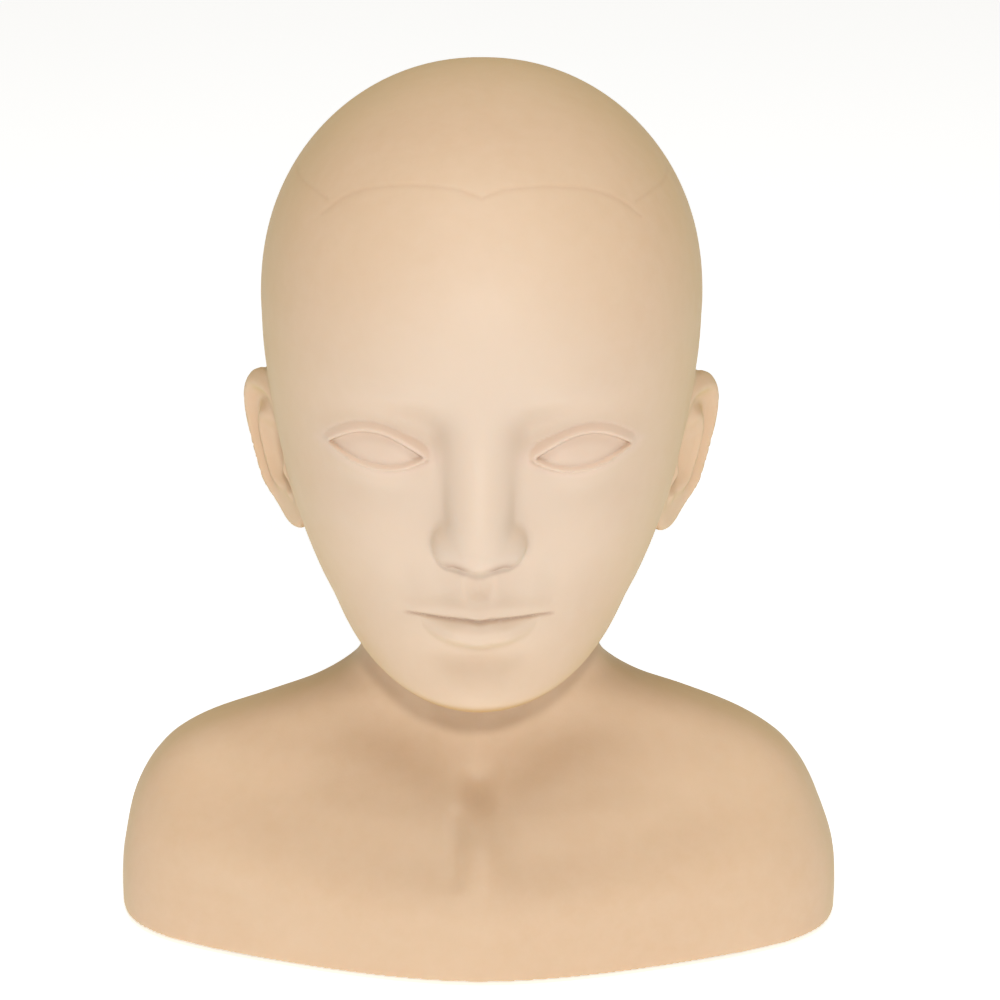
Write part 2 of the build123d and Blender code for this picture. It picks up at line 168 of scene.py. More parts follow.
SKIRT_HALF, SKIRT_DEEP = 127.5, 70.0
BUST_Z = [-104.5, -92.5, -84.6, -76.7, -68.8, -60.9, -53.1, -45.3, -37.5, -29.8, -22.1, -14.4, -6.7, 3, 20]
BUST_HALF = [127.3, 127.3, 126.7, 125.0, 122.7, 119.6, 115.3, 108.8, 97.5, 80.5, 62.0, 47.5, 41.4, 40.5, 40.5]
BUST_FRONT = [71, 70.5, 69, 66.5, 63, 58.5, 52, 44.5, 38, 34, 32, 31, 30.5, 31, 33]
BUST_BACK = [70, 70, 70, 69.5, 69, 67, 64.5, 61, 56.5, 52.5, 50, 49.5, 49, 48, 47]
BUST_PINCH = [1.0, 1.0, 1.0, 0.97, 0.95, 0.95, 0.95, 0.95, 0.95, 0.9, 0.7, 0.3, 0, 0, 0]
BUST_POWER = [1.7, 1.7, 1.7, 1.7, 1.68, 1.62, 1.53, 1.42, 1.33, 1.27, 1.32, 1.58, 1.9, 2.0, 2.0]


def skull(x, f, z):
    """Ovals stacked up to SKULL_MID with a dome over them, cut off under the jaw."""
    half = curve(HEAD_Z, HEAD_WIDTH, z)
    middle = curve(HEAD_Z, HEAD_WIDEST, z)
    front = curve(HEAD_Z, HEAD_FRONT, z) - middle
    back = middle - curve(HEAD_Z, HEAD_BACK, z)
    power = curve(HEAD_Z, HEAD_POWER, z)
    df = f - middle
    deep = np.where(df > 0, front, back)
    up = np.maximum(z - SKULL_MID, 0) / SKULL_RISE
    sx, sf = np.abs(x) / half, np.abs(df) / deep
    lift = 2.05 + 0.2 * step(-40, 40, df)
    flat = sx ** power + sf ** power
    q = np.sqrt(flat ** (2 / power) + up ** lift)
    g = np.sqrt((sx / half) ** 2 + (sf / deep) ** 2 + (up / SKULL_RISE) ** 2)
    solid = q * (q - 1) / np.maximum(g, 1e-6)
    under = (curve(JAW_F, JAW_UNDER, f) - z) * 0.94
    return meet(solid, under, 7.0)


def plan(x, f, half, deep, pinch, power, half_slope=0.0, deep_slope=0.0):
    """Distance from an oval in plan. A low power draws it to a point, and pinch blunts its sides.
    The slopes are the sizes' rates of change with height, as shares of the sizes."""
    share = np.minimum(np.abs(x) / half, 1.2)
    power = power + 0.75 * pinch * share ** 4
    sx, sf = np.abs(x) / half + 1e-4, np.abs(f - BASE_F) / deep + 1e-4
    q = (sx ** power + sf ** power) ** (1 / power)
    px, pf = (sx / q) ** (power - 1), (sf / q) ** (power - 1)
    rise = sx * px * half_slope + sf * pf * deep_slope
    return (q - 1) / np.sqrt((px / half) ** 2 + (pf / deep) ** 2 + rise ** 2)


def bust(x, f, z):
    """Neck and shoulders, with the photographed object's own lean in the shoulders."""
    z = z + 3.2 * np.exp(-(((x + 74) / 32) ** 2)) * step(-70, -50, z)
    z = z + 1.4 * np.exp(-(((np.abs(x) - 52) / 15) ** 2)) * step(-55, -40, z) * step(0, -15, z)
    x = x + 1.0 * step(-84, -66, z) * step(-5, -30, z)

    def sizes(at):
        deep = np.where(f > BASE_F, curve(BUST_Z, BUST_FRONT, at), curve(BUST_Z, BUST_BACK, at))
        return curve(BUST_Z, BUST_HALF, at), deep

    half, deep = sizes(z)
    half_up, deep_up = sizes(z + 1)
    sides = plan(
        x, f, half, deep, curve(BUST_Z, BUST_PINCH, z), curve(BUST_Z, BUST_POWER, z),
        (half_up - half) / half, (deep_up - deep) / deep,
    )
    return meet(sides, z - 55.0, 5.0)


def skirt(x, f):
    """The straight-sided base in plan, the same as the CAD's."""
    return plan(x, f, SKIRT_HALF, SKIRT_DEEP, 1.0, 1.7)


# ---- relief ----

EYE_X, EYE_Z, EYE_HALF = 33.7, 96.2, 15.9
LID_OVER, LID_UNDER = 7.3, 3.7      # from the eye's middle line to the opening's edges
ENGRAVED_WIDTH, ENGRAVED_DEPTH = 0.5, 0.16
MOUTH_Z = 40.4
HAIRLINE = smooth_line(
    [(0, 179.0), (7, 180.8), (15, 181.2), (26, 180.2), (36, 177.8), (45, 173.3), (52, 167.2)]
)
TEMPLE_LINE = smooth_line([(50.5, 171.3), (56, 171.2), (62, 169.6)], 6)


def eyelids(ax, z):
    """Raised rims round an almond opening, with the eyeball a little below them, and the distance
    from the opening's edge."""
    u = (ax - EYE_X) / EYE_HALF
    over = (z - EYE_Z) - LID_OVER * (1 - u * u) * (1 + 0.18 * u)
    under = (EYE_Z - z) - LID_UNDER * (1 - u * u)
    over = over / np.sqrt(1 + (2 * LID_OVER * u / EYE_HALF) ** 2)
    under = under / np.sqrt(1 + (2 * LID_UNDER * u / EYE_HALF) ** 2)
    edge = np.maximum(over, under)
    top = step(EYE_Z - 3, EYE_Z + 3, z)
    width = 1.4 + 0.7 * top
    near = np.exp(-(np.maximum(np.abs(u) - 0.98, 0) / 0.10) ** 2)
    sunk = -(1.5 + 0.5 * top) * step(0.0, 0.75, -edge)
    rim = 1.25 * np.exp(-(((edge - 0.45 * width) / (0.55 * width)) ** 2)) * near
    fold = -(0.1 + 0.35 * top) * np.exp(-(((edge - width - 0.8) / 0.6) ** 2)) * near
    return sunk + rim + fold, edge


def lip_line(ax):
    """The height of the line between the lips."""
    return MOUTH_Z - 2.2 * (ax / 25) ** 2 - 0.8 * np.exp(-((ax / 3.0) ** 2))


def lips(ax, x, z):
    """Two full lips, the line pressed in between them and the corners of the mouth."""
    below = lip_line(ax) - z
    full = np.clip(1 - (ax / 24.5) ** 2, 0, 1)
    bow = np.exp(-((x / 3.4) ** 2))
    above = (below + 3.2 - 0.6 * bow) / (1.8 + 2.4 * full)
    upper = (2.3 - 0.4 * bow) * np.exp(-(above ** 2)) * full
    blunt = np.sqrt(np.clip(1 - (ax / 18.6) ** 2, 0, 1))
    deep = 2.8 + 9.0 * blunt
    bulge = np.exp(-(np.abs((below / deep - 0.5) / 0.46) ** 3.0))
    lower = 5.3 * bulge * step(20.0, 7.0, ax) ** 0.8
    groove = -1.15 * np.exp(-((below / 0.58) ** 2)) * np.clip(1 - (ax / 25.4) ** 6, 0, 1)
    corner = -0.5 * dome(ax, z, 25.5, 38, 3.0, 2.6)
    return upper + lower + groove + corner


def face(x, z):
    """How far the face stands forward of the plain skull."""
    ax = np.abs(x)
    h = -5.0 * dome(ax, z, 31, 104, 15, 8.5)
    h += -3.4 * dome(ax, z, 15.5, 103, 7.5, 10)
    h += -1.2 * dome(ax, z, 17, 107, 8, 8)
    h += -1.2 * dome(ax, z, 25, 110, 9, 6)
    h += 1.5 * dome(ax, z, 26, 118, 20, 8)
    h += 1.2 * dome(ax, z, 0, 114, 8, 8)
    h += 6.6 * np.exp(-((((ax - 34.5) / 16.8) ** 2 + ((z - 97.5) / 10.2) ** 2) ** 1.35))
    h += 2.2 * dome(ax, z, 40, 70, 15, 13)
    h += -1.2 * dome(ax, z, 23, 76, 10, 11)
    h += -2.0 * dome(ax, z, 42, 41, 13, 13)
    h += 3.0 * dome(ax, z, 0, 43, 21, 14)
    h += -2.6 * dome(ax, z, 0, 24.5, 15, 4.6)
    h += 3.6 * dome(ax, z, 0, 11, 15, 9)
    h += -1.4 * dome(ax, z, 24, 50, 5, 8)
    h += -1.35 * np.exp(-((x / 2.8) ** 2)) * step(46, 50, z) * step(60, 55, z)
    h += 0.6 * np.exp(-(((ax - 5.4) / 2.2) ** 2)) * step(46, 50, z) * step(60, 55, z)
    h += lips(ax, x, z)
    return h + eyelids(ax, z)[0]


def engraved(ax, f, z):
    """1 in the engraved hairline and temple lines."""
    near = step(-4, 4, f) * step(100, 120, z)
    lines = ridge(ax, z, HAIRLINE, ENGRAVED_WIDTH) + ridge(ax, z, TEMPLE_LINE, ENGRAVED_WIDTH)
    return np.minimum(lines, 1) * near


def chest(x, z):
    """The notch under the neck, the breastbone and the hollows beside it, over the rim of the base."""
    ax = np.abs(x)
    h = 1.3 * ridge(ax, z, smooth_line([(10, -47), (28, -42), (52, -40), (78, -44)], 12), 6.5)
    h += -1.6 * dome(ax, z, 30, -30, 18, 7)
    h += -3.4 * dome(x, z, -1, -43, 7, 4.5)
    arc = z + 69.5 - 7.5 * (ax / 88) ** 2
    side = step(114, 84, ax) * step(3, 16, ax)
    h += -2.5 * np.exp(-(((arc - 6) / 8.5) ** 2)) * side
    h += 1.8 * np.exp(-(((arc + 9) / 9.0) ** 2)) * step(118, 90, ax)
    h += 1.1 * np.exp(-(((x - 1.5) / 6.0) ** 2)) * step(-45, -52, z) * step(-76, -68, z)
    h += -1.2 * np.exp(-(((x + 7.5) / 3.6) ** 2)) * step(-46, -52, z) * step(-74, -68, z)
    h += 1.2 * ridge(ax, z, [(8, -42), (17, -22), (30, 0)], 4.5)
    return h


def bridge(x, f, z):
    """The ridge of the nose."""
    return rod(x, f, z, (0, 78.7, 110), (0, 92.4, 74.0), 4.8, 7.0)


def nose(x, f, z):
    """The ridge with the tip, the wings, the post between the nostrils, and the nostrils cut in."""
    ax = np.abs(x)
    tip = egg(x, f, z, (0, 91.2, 68.8), (9.6, 9.9, 8.2))
    wing = egg(ax, f, z, (8.9, 83.2, 66.8), (6.6, 10.4, 7.3))
    post = rod(x, f, z, (0, 89.0, 63.4), (0, 81.0, 58.6), 3.4, 3.4)
    body = join(join(bridge(x, f, z), tip, 6.0), post, 2.5)
    body = join(body, wing, 6.5)
    hole = egg(ax, f, z, (7.3, 90.5, 59.4), (2.3, 6.0, 3.3))
    return meet(body, -hole, 1.2)


# ---- ears ----

EAR_AT = (61.4, 11.0, 70.0)
EAR_FLARE, EAR_CANT, EAR_LEAN = math.radians(30), math.radians(8), math.radians(9)


def turned_pair(a, b, angle):
    """Two directions at right angles, the first turned towards the second."""
    return (a * math.cos(angle) + b * math.sin(angle), b * math.cos(angle) - a * math.sin(angle))


def ear_axes():
    """The ear's own directions: back along it, up it and out of it, for the ear at positive x."""
    back, up, out = np.array([0, -1, 0.0]), np.array([0, 0, 1.0]), np.array([1.0, 0, 0])
    back, out = turned_pair(back, out, EAR_FLARE)
    up, out = turned_pair(up, out, EAR_CANT)
    up, back = turned_pair(up, back, EAR_LEAN)
    return back.astype(np.float32), up.astype(np.float32), out.astype(np.float32)


EAR_BACK, EAR_UP, EAR_OUT = ear_axes()


def ear(x, f, z):
    """Both ears: a rounded flap with its rim, inner fold, bowl and the two small flaps at the bowl."""
    ax = np.abs(x)
    dx, df, dz = ax - EAR_AT[0], f - EAR_AT[1], z - EAR_AT[2]
    u = dx * EAR_BACK[0] + df * EAR_BACK[1] + dz * EAR_BACK[2]
    v = dx * EAR_UP[0] + df * EAR_UP[1] + dz * EAR_UP[2]
    n = dx * EAR_OUT[0] + df * EAR_OUT[1] + dz * EAR_OUT[2]
    broad = 15.5 * (1 + 0.20 * np.clip(v / 29, -1, 1))
    outline = (((np.abs(u - 14.5) / broad) ** 2.5 + (np.abs(v) / 29.0) ** 2.5) ** 0.4 - 1) * 17
    inside = -outline
    round_back = step(-9, 3, u) * step(-24, -10, v)
    h = 2.6 * np.exp(-(((inside - 2.3) / 2.0) ** 2)) * round_back
    h += -1.3 * np.exp(-(((inside - 5.8) / 2.0) ** 2)) * step(8, 16, u) * step(-16, -6, v)
    h += 1.9 * np.exp(-(((inside - 9.2) / 2.1) ** 2)) * step(9, 16, u) * step(-19, -10, v)
    h += -6.5 * np.exp(-(((u - 10.5) / 5.2) ** 2) - ((v + 2) / 9.5) ** 2)
    h += 3.6 * np.exp(-(((u - 3.6) / 2.6) ** 2) - ((v + 3.5) / 4.2) ** 2)
    h += 2.0 * np.exp(-(((u - 10.5) / 3.0) ** 2) - ((v + 14.5) / 3.0) ** 2)
    front = n - 2.4 - h
    rear = -2.6 - n
    return meet(meet(front, rear, 2.2), outline, 2.4)


# ---- the whole field ----

def nape(f):
    """The fillet between head and neck: tight under the jaw and wide at the back."""
    return 6.0 + 20.0 * step(-15, -60, f)


def plain(x, f, z):
    """Skull, neck and shoulders with no relief. The skin's inside follows this."""
    return join(skull(x, f, z), bust(x, f, z), nape(f))


def outside(x, f, z):
    """The skin's outer surface, all relief included."""
    forward = step(0, 24, f)
    f_face = f - face(x, z) * forward * step(-8, 2, z)
    head = skull(x, f_face, z)
    head = join(join(head, bridge(x, f, z), 12.0), nose(x, f, z), 3.0 + 8.0 * step(71, 84, z))
    head = join(head, ear(x, f, z), 1.8)
    low = bust(x, f - chest(x, z) * step(-4, 12, f), z)
    return join(head, low, nape(f)) + ENGRAVED_DEPTH * engraved(np.abs(x), f, z)


def room(x, f, z, shell):
    """Negative in the hollow: behind the wall, and no nearer than that to the relief outside."""
    return np.maximum(plain(x, f, z) + WALL, shell + WALL_BEHIND_RELIEF)


def skin(x, f, z):
    """The skin: the outside less the hollow, the base plate's recess and the opening in the lip."""
    shell = outside(x, f, z)
    body = meet(shell, SKIN_FOOT - z, 1.2)
    base = skirt(x, f)
    ring_room = np.maximum(base + WALL, z - RING_TOP - 0.5)
    hollow = np.maximum(np.minimum(room(x, f, z, shell), ring_room), LIP_TOP - z)
    recess = np.maximum(base + WALL, z - LIP_UNDER)
    opening = np.maximum(base + WALL + LIP, z - LIP_TOP - 1)
    return meet(body, -np.minimum(np.minimum(hollow, recess), opening), 0.5)


# ==== meshing ===================================================================================

BLOCK = 4                           # grid cells along a block, which is kept or skipped whole
CORNERS = list(itertools.product((0, 1), repeat=3))


def spaced(stops):
    """Grid lines through the stops: each is (where, spacing up to the next)."""
    lines = [stops[0][0]]
    for (low, gap), (high, _) in zip(stops[:-1], stops[1:]):
        count = max(1, round((high - low) / gap))
        lines += [low + (high - low) * (i + 1) / count for i in range(count)]
    while (len(lines) - 1) % BLOCK:
        lines.append(lines[-1] + 1.0)
    return np.array(lines, np.float32)


def in_parts(field, x, f, z, size=100000):
    """The field at many points, a slice at a time on several threads."""
    out = np.empty(len(x), np.float32)

    def work(at):
        part = slice(at, at + size)
        out[part] = field(x[part], f[part], z[part])

    with ThreadPoolExecutor(4) as pool:
        list(pool.map(work, range(0, len(x), size)))
    return out


def by_cell(blocks):
    """A value for each block, repeated for the block's cells."""
    return blocks.repeat(BLOCK, 0).repeat(BLOCK, 1).repeat(BLOCK, 2)


def nets(field, xs, fs, zs):
    """Quads on the field's zero surface, one vertex in each grid cell that it crosses. Blocks too far
    from the surface to meet it are filled in from their middles."""
    shape = (len(xs), len(fs), len(zs))
    blocks = tuple((n - 1) // BLOCK for n in shape)
    mid = [a[BLOCK // 2::BLOCK][:b] for a, b in zip((xs, fs, zs), blocks)]
    bx, bf, bz = (a.ravel() for a in np.meshgrid(*mid, indexing="ij"))
    size = [np.diff(a[::BLOCK])[:b] for a, b in zip((xs, fs, zs), blocks)]
    sx, sf, sz = (a.ravel() for a in np.meshgrid(*size, indexing="ij"))
    reach = np.sqrt(sx ** 2 + sf ** 2 + sz ** 2) * 0.5
    value = in_parts(field, bx, bf, bz)
    active = (np.abs(value) < 1.5 * reach + 2.0).reshape(blocks)
    filled = np.full(shape, 10.0, np.float32)
    coarse = np.where(value < 0, -10.0, 10.0).astype(np.float32).reshape(blocks)
    filled[:-1, :-1, :-1] = by_cell(coarse)
    nodes = np.zeros(shape, bool)
    cells = by_cell(active)
    for i, j, k in CORNERS:
        nodes[i:shape[0] - 1 + i, j:shape[1] - 1 + j, k:shape[2] - 1 + k] |= cells
    at = np.nonzero(nodes)
    filled[at] = in_parts(field, xs[at[0]], fs[at[1]], zs[at[2]])
    sign = filled < 0
    count = np.zeros([n - 1 for n in shape], np.int8)
    for i, j, k in CORNERS:
        count += sign[i:shape[0] - 1 + i, j:shape[1] - 1 + j, k:shape[2] - 1 + k]
    ci, cj, ck = np.nonzero((count > 0) & (count < 8))
    total = np.zeros((len(ci), 3), np.float32)
    hits = np.zeros(len(ci), np.float32)
    for axis, a, b in itertools.product(range(3), (0, 1), (0, 1)):
        start = [a, b]
        start.insert(axis, 0)
        end = list(start)
        end[axis] = 1
        va = filled[ci + start[0], cj + start[1], ck + start[2]]
        vb = filled[ci + end[0], cj + end[1], ck + end[2]]
        crossed = (va < 0) != (vb < 0)
        t = np.where(crossed, va / np.where(crossed, va - vb, 1), 0)
        point = np.array(start, np.float32)[None, :].repeat(len(ci), 0)
        point[:, axis] = t
        total += point * crossed[:, None]
        hits += crossed
    local = total / hits[:, None]
    where = [
        np.interp(c + local[:, n], np.arange(len(line)), line)
        for n, (c, line) in enumerate(zip((ci, cj, ck), (xs, fs, zs)))
    ]
    points = np.stack(where, 1).astype(np.float32)
    index = np.full(count.shape, -1, np.int32)
    index[ci, cj, ck] = np.arange(len(ci))
    quads = []
    for axis in range(3):
        second, third = (axis + 1) % 3, (axis + 2) % 3
        low = [slice(1, -1)] * 3
        high = [slice(1, -1)] * 3
        low[axis], high[axis] = slice(0, -1), slice(1, None)
        change = sign[tuple(low)] != sign[tuple(high)]
        spot = [c + (0 if n == axis else 1) for n, c in enumerate(np.nonzero(change))]
        ring = []
        for a, b in ((1, 1), (0, 1), (0, 0), (1, 0)):
            cell = list(spot)
            cell[second] = cell[second] - a
            cell[third] = cell[third] - b
            ring.append(index[cell[0], cell[1], cell[2]])
        ring = np.stack(ring, 1)
        flip = ~sign[spot[0], spot[1], spot[2]]
        ring[flip] = ring[flip][:, ::-1]
        quads.append(ring)
    return points, np.concatenate(quads)


def slopes(field, points, h=0.12):
    """The field and its gradient at the points."""
    x, f, z = points.T
    here = in_parts(field, x, f, z)
    grad = np.stack([
        in_parts(field, x + h, f, z) - in_parts(field, x - h, f, z),
        in_parts(field, x, f + h, z) - in_parts(field, x, f - h, z),
        in_parts(field, x, f, z + h) - in_parts(field, x, f, z - h),
    ], 1) / (2 * h)
    return here, grad


def settle(field, points, rounds=2, most=0.7):
    """Moves the points onto the surface."""
    for _ in range(rounds):
        here, grad = slopes(field, points)
        move = -here[:, None] * grad / np.maximum((grad ** 2).sum(1), 0.04)[:, None]
        size = np.sqrt((move ** 2).sum(1))
        points = points + move * np.minimum(1, most / np.maximum(size, 1e-6))[:, None]
    return points.astype(np.float32)


SKIN_TRIANGLES, QUICK_TRIANGLES = 190000, 60000
# The camera's side, from which the painted shade in turned is measured.
CAMERA_SIDE = (0.93, 0.36)          # forward and up, towards the photograph's camera


def sculpt():
    """The skin's quads, on a grid that is finest over the face and the ears."""
    fine, plain_gap, wide = ((0.8, 1.1, 1.6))
    half = [(0.0, fine), (50.0, fine), (60.0, plain_gap), (88.0, wide), (131.0, wide)]
    right = spaced(half)
    xs = np.concatenate([-right[:0:-1], right])
    while (len(xs) - 1) % BLOCK:
        xs = np.append(xs, xs[-1] + 1.0).astype(np.float32)
    fs = spaced([(-102.0, wide), (-40.0, plain_gap), (-6.0, plain_gap), (30.0, fine), (106.0, fine)])
    zs = spaced([
        (SKIN_FOOT - 3, 1.5), (LIP_TOP + 4, wide), (-60.0, plain_gap), (-4.0, fine),
        (122.0, fine), (150.0, plain_gap), (206.0, plain_gap),
    ])
    points, quads = nets(skin, xs, fs, zs)
    return settle(skin, points), quads


def to_frame(points):
    """Face axes in millimetres to the frame in metres."""
    x, f, z = points.T
    return np.stack([x, SKULL_Y - f, z + CHIN_Z], 1) / 1000


def from_frame(points):
    """The frame in metres to face axes in millimetres."""
    x, y, z = (points * 1000).T
    return np.stack([x, SKULL_Y - y, z - CHIN_Z], 1).astype(np.float32)


def mesh_object(name, points, polygons):
    """A mesh from face-axes polygons, turned over because the frame's y runs the other way from f."""
    polygons = np.asarray(polygons, np.int32)[:, ::-1]
    mesh = bpy.data.meshes.new(name)
    mesh.vertices.add(len(points))
    mesh.vertices.foreach_set("co", np.ascontiguousarray(points, np.float32).ravel())
    corners = polygons.shape[1]
    mesh.loops.add(polygons.size)
    mesh.loops.foreach_set("vertex_index", np.ascontiguousarray(polygons).ravel())
    mesh.polygons.add(len(polygons))
    mesh.polygons.foreach_set("loop_start", np.arange(0, polygons.size, corners, dtype=np.int32))
    mesh.polygons.foreach_set("loop_total", np.full(len(polygons), corners, np.int32))
    mesh.update(calc_edges=True)
    thing = bpy.data.objects.new(name, mesh)
    bpy.context.scene.collection.objects.link(thing)
    return thing


def corner_points(mesh):
    points = np.empty(len(mesh.vertices) * 3, np.float32)
    mesh.vertices.foreach_get("co", points)
    return points.reshape(-1, 3)


def thinned(thing, faces):
    """The object with fewer triangles, kept where the surface bends."""
    now = sum(len(p.vertices) - 2 for p in thing.data.polygons)
    modifier = thing.modifiers.new("thin", "DECIMATE")
    modifier.ratio = min(1.0, faces / now)
    modifier.use_collapse_triangulate = True
    bpy.context.view_layer.update()
    graph = bpy.context.evaluated_depsgraph_get()
    mesh = bpy.data.meshes.new_from_object(thing.evaluated_get(graph))
    thing.modifiers.clear()
    thing.data = mesh
    return thing


def make_skin():
    """The skin's mesh, with the field's own normals and the zones that its material colours."""
    points, quads = sculpt()
    thing = mesh_object("vinyl_skin", to_frame(points), quads)
    thing = thinned(thing, SKIN_TRIANGLES)
    mesh = thing.data
    points = settle(skin, from_frame(corner_points(mesh)), 1, 0.15)
    mesh.vertices.foreach_set("co", to_frame(points).astype(np.float32).ravel())
    _, grad = slopes(skin, points, 0.3)
    normal = grad / np.maximum(np.sqrt((grad ** 2).sum(1)), 1e-6)[:, None]
    normal[:, 1] *= -1                  # the frame's y runs against f
    mesh.polygons.foreach_set("use_smooth", np.ones(len(mesh.polygons), bool))
    mesh.update()
    mesh.normals_split_custom_set_from_vertices(normal.tolist())
    x, f, z = points.T
    ax = np.abs(x)
    forward = step(20, 40, f) * step(-8, 2, z)
    eye_zone = step(4.5, 2.5, eyelids(ax, z)[1]) * forward
    # Painted shade: the engraved hairline and temple lines are darkened a little.
    groove = engraved(ax, f, z)
    # Painted shade: a dark line along the crease between the lips.
    mouth = np.exp(-(((z - lip_line(ax)) / 0.5) ** 2)) * step(26, 22, ax) * forward
    # Painted shade: the skin is tinted ochre where it turns away from the camera, as if the light fell off
    # there.
    toward = -normal[:, 1] * CAMERA_SIDE[0] + normal[:, 2] * CAMERA_SIDE[1]
    turned = step(0.35, 1.0, 1 - np.clip(toward, 0, 1))
    # Painted shadow: the underside of the jaw is tinted deep ochre where the chin's shade falls.
    under_jaw = step(6, 2, z - curve(JAW_F, JAW_UNDER, f))
    painted_jaw_shadow = step(0.25, 0.85, -normal[:, 2]) * step(-10, 0, z) * under_jaw * step(-5, 15, f)
    # Painted shade: the nostrils' downward-facing insides are darkened.
    painted_nostril_shade = dome(ax, z, 7.2, 61.6, 3.6, 2.6) * step(-0.05, 0.45, -normal[:, 2]) * step(82, 86, f)
    # A paler face, partly painted light: the middle of the face, where the light falls most, is tinted pale.
    pale_face_and_painted_light = np.exp(-(((x / 54) ** 2 + ((z - 92) / 80) ** 2) ** 1.6))
    pale_face_and_painted_light = pale_face_and_painted_light * step(10, 50, f) * step(-6, 6, z)
    layers = (
        ("eye_zone", eye_zone), ("groove", groove), ("painted_mouth_line_shade", mouth), ("turned", turned),
        ("painted_jaw_shadow", painted_jaw_shadow), ("pale_face_and_painted_light", pale_face_and_painted_light), ("painted_nostril_shade", painted_nostril_shade),
    )
    for name, values in layers:
        layer = mesh.attributes.new(name, "FLOAT", "POINT")
        layer.data.foreach_set("value", values.astype(np.float32))
    return thing


FOAM_GAP, FOAM_GRID = 1.5, 2.4


def make_foam():
    """The foam core, which fills the skin's room less a gap, with the socket's hole up its middle."""
    core_low, core_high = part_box("head_foam_core")
    socket_low, socket_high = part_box("clamp_socket")
    foot, top = core_low.z * 1000 - CHIN_Z, core_high.z * 1000 - CHIN_Z
    hole_top = socket_high.z * 1000 - CHIN_Z + 1.0
    hole = (socket_high.x - socket_low.x) * 500 + 0.8
    hole_f = SKULL_Y - (socket_low.y + socket_high.y) * 500

    def foam(x, f, z):
        solid = meet(room(x, f, z, outside(x, f, z)) + FOAM_GAP, foot - z, 1.5)
        shaft = np.maximum(np.sqrt(x ** 2 + (f - hole_f) ** 2) - hole, z - hole_top)
        return np.maximum(solid, -shaft)

    xs = spaced([(-76.0, FOAM_GRID), (76.0, FOAM_GRID)])
    fs = spaced([(-96.0, FOAM_GRID), (92.0, FOAM_GRID)])
    zs = spaced([(foot - 4.0, FOAM_GRID), (top + 6.0, FOAM_GRID)])
    points, quads = nets(foam, xs, fs, zs)
    points = settle(foam, points)
    thing = mesh_object("foam_core", to_frame(points), quads)
    thing.data.polygons.foreach_set("use_smooth", np.ones(len(quads), bool))
    return thing


# ==== materials =================================================================================

class Finish:
    """A node material, built up a line at a time."""

    def __init__(self, name):
        self.material = bpy.data.materials.new(name)
        self.material.use_nodes = True
        self.tree = self.material.node_tree
        self.shader = self.tree.nodes["Principled BSDF"]
        self.place = self.tree.nodes.new("ShaderNodeTexCoord").outputs["Object"]

    def node(self, kind, inputs=None, **settings):
        made = self.tree.nodes.new(kind)
        for key, value in settings.items():
            setattr(made, key, value)
        for key, value in (inputs or {}).items():
            self.feed(made.inputs[key], value)
        return made

    def feed(self, socket, value):
        if isinstance(value, bpy.types.NodeSocket):
            self.tree.links.new(value, socket)
        else:
            socket.default_value = value

    def stretched(self, scale):
        """The object's coordinates, scaled, for a grain that runs one way."""
        return self.node("ShaderNodeMapping", {"Vector": self.place, "Scale": scale}).outputs["Vector"]

    def noise(self, size, detail=3.0, rough=0.55, place=None):
        """Noise with features of about that size in metres, from 0 to 1."""
        inputs = {"Vector": place or self.place, "Scale": 1 / size, "Detail": detail, "Roughness": rough}
        return self.node("ShaderNodeTexNoise", inputs).outputs["Fac"]

    def spread(self, value, low, high, to_low=0.0, to_high=1.0):
        """The value's range from low to high, mapped onto another and held at its ends."""
        inputs = {0: value, 1: low, 2: high, 3: to_low, 4: to_high}
        return self.node("ShaderNodeMapRange", inputs).outputs[0]

    def sums(self, kind, a, b):
        return self.node("ShaderNodeMath", {0: a, 1: b}, operation=kind).outputs[0]

    def mix(self, share, a, b):
        made = self.node("ShaderNodeMix", data_type="RGBA")
        self.feed(made.inputs[0], share)
        self.feed(made.inputs[6], a)
        self.feed(made.inputs[7], b)
        return made.outputs[2]

    def attribute(self, name):
        return self.node("ShaderNodeAttribute", attribute_name=name).outputs["Fac"]

    def bump(self, height, depth, strength=1.0):
        """A bump of that many metres on the shader's normal, over any bump already there."""
        inputs = {"Height": height, "Distance": depth, "Strength": strength}
        made = self.node("ShaderNodeBump", inputs)
        normal = self.shader.inputs["Normal"]
        if normal.is_linked:
            self.tree.links.new(normal.links[0].from_socket, made.inputs["Normal"])
        self.tree.links.new(made.outputs["Normal"], normal)

    def set(self, **values):
        for key, value in values.items():
            self.feed(self.shader.inputs[key.replace("_", " ")], value)


def rgb(red, green, blue):
    """A colour from 0 to 255 as the eye reads it."""
    def linear(c):
        c /= 255
        return c / 12.92 if c <= 0.04045 else ((c + 0.055) / 1.055) ** 2.4
    return (linear(red), linear(green), linear(blue), 1.0)


# Zones laid over the skin's colour, in this order: attribute, strength, colour. The first three are painted
# light and shade: ochre painted shade where the skin turns away from the camera, a paler face that is
# partly painted light, and an ochre painted shadow under the jaw. They stay on the surface, so the back is
# ochre too.
ZONES = (
    # Painted shade, ochre, where the skin turns away from the camera.
    ("turned", 0.8, (208, 180, 126)),
    # A paler face, partly painted light.
    ("pale_face_and_painted_light", 0.8, (221, 202, 184)),
    # Painted shadow, ochre, under the jaw.
    ("painted_jaw_shadow", 0.8, (190, 146, 84)),
    ("eye_zone", 0.35, (226, 200, 184)),
    # Painted shade in the engraved lines.
    ("groove", 0.1, (170, 120, 90)),
    # Painted shade in the line between the lips.
    ("painted_mouth_line_shade", 0.42, (150, 92, 70)),
    # Painted shade in the nostrils.
    ("painted_nostril_shade", 0.75, (132, 84, 58)),
)


